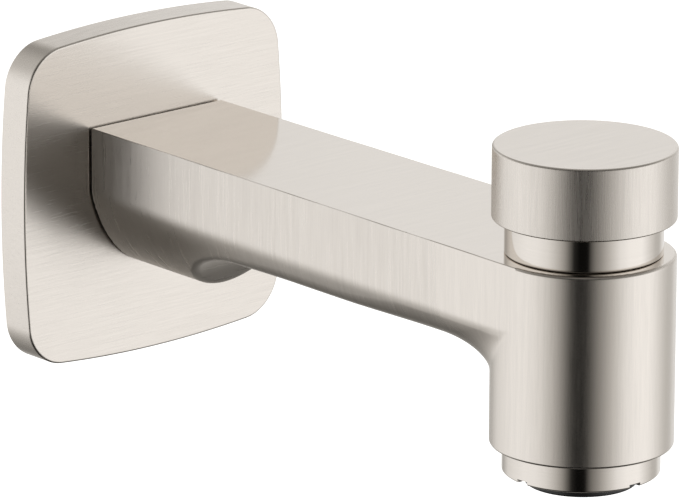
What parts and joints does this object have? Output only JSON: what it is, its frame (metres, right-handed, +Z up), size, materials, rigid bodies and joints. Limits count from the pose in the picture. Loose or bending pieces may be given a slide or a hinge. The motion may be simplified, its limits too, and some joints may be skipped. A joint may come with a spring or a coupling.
{
  "type": "wall mounted bath faucet",
  "caption": "Brushed nickel wall mounted bath faucet spout with a square wall plate, flat-topped arm, upright barrel, pull-up diverter knob on top and an aerator below.",
  "frame": {"origin": "centre of the wall plate's back face, on the wall plane, where the supply pipe comes out of the wall", "axes": "+Z up; +Y into the wall, so the spout stands out along -Y; X sideways"},
  "size_m": [0.0708, 0.1598, 0.0732],
  "materials": {
    "brushed_nickel": "brushed nickel",
    "turned_nickel": "fine turned nickel",
    "brass": "machined brass",
    "stainless_steel": "plain stainless steel",
    "black_rubber": "matte",
    "black_foam": "closed-cell foam",
    "black_plastic": "moulded",
    "white_plastic": "moulded acetal"
  },
  "bodies": {
    "spout": {"wall_plate": "brushed_nickel", "wall_gasket": "black_foam", "centering_ring": "white_plastic", "root_seal": "black_rubber", "spout_body": "brushed_nickel", "inlet_adaptor": "brass", "adaptor_o_ring_inner": "black_rubber", "adaptor_o_ring_outer": "black_rubber", "set_screw": "stainless_steel", "diverter_bonnet": "turned_nickel", "bonnet_o_ring": "black_rubber", "stem_o_ring": "black_rubber", "spring_washer": "stainless_steel", "return_spring": "stainless_steel", "seat_ring": "brass", "aerator_housing": "turned_nickel", "aerator_seal": "black_rubber", "aerator_cartridge": "black_plastic", "aerator_screen": "stainless_steel", "flow_regulator": "white_plastic", "flow_straightener": "black_plastic"},
    "piston": {"piston": "white_plastic", "piston_seal": "black_rubber"},
    "knob": {"diverter_stem": "brass", "piston_clip_lower": "stainless_steel", "piston_clip_upper": "stainless_steel", "valve_collar": "brass", "valve_washer": "black_rubber", "valve_disc": "brass", "valve_nut": "stainless_steel", "knob_insert": "brass", "pull_knob": "brushed_nickel"}
  },
  "joints": [
    {"name": "diverter_lift", "type": "slide", "parent": "spout", "child": "piston", "axis": [0, 0, 1], "range_m": [0, 0.008], "stiffness_N_per_m": 150, "springref_m": -0.01, "deforming": ["return_spring"]},
    {"name": "knob_turn", "type": "hinge", "parent": "piston", "child": "knob", "pos_m": [0, -0.1413, 0], "axis": [0, 0, 1], "continuous": true}
  ]
}
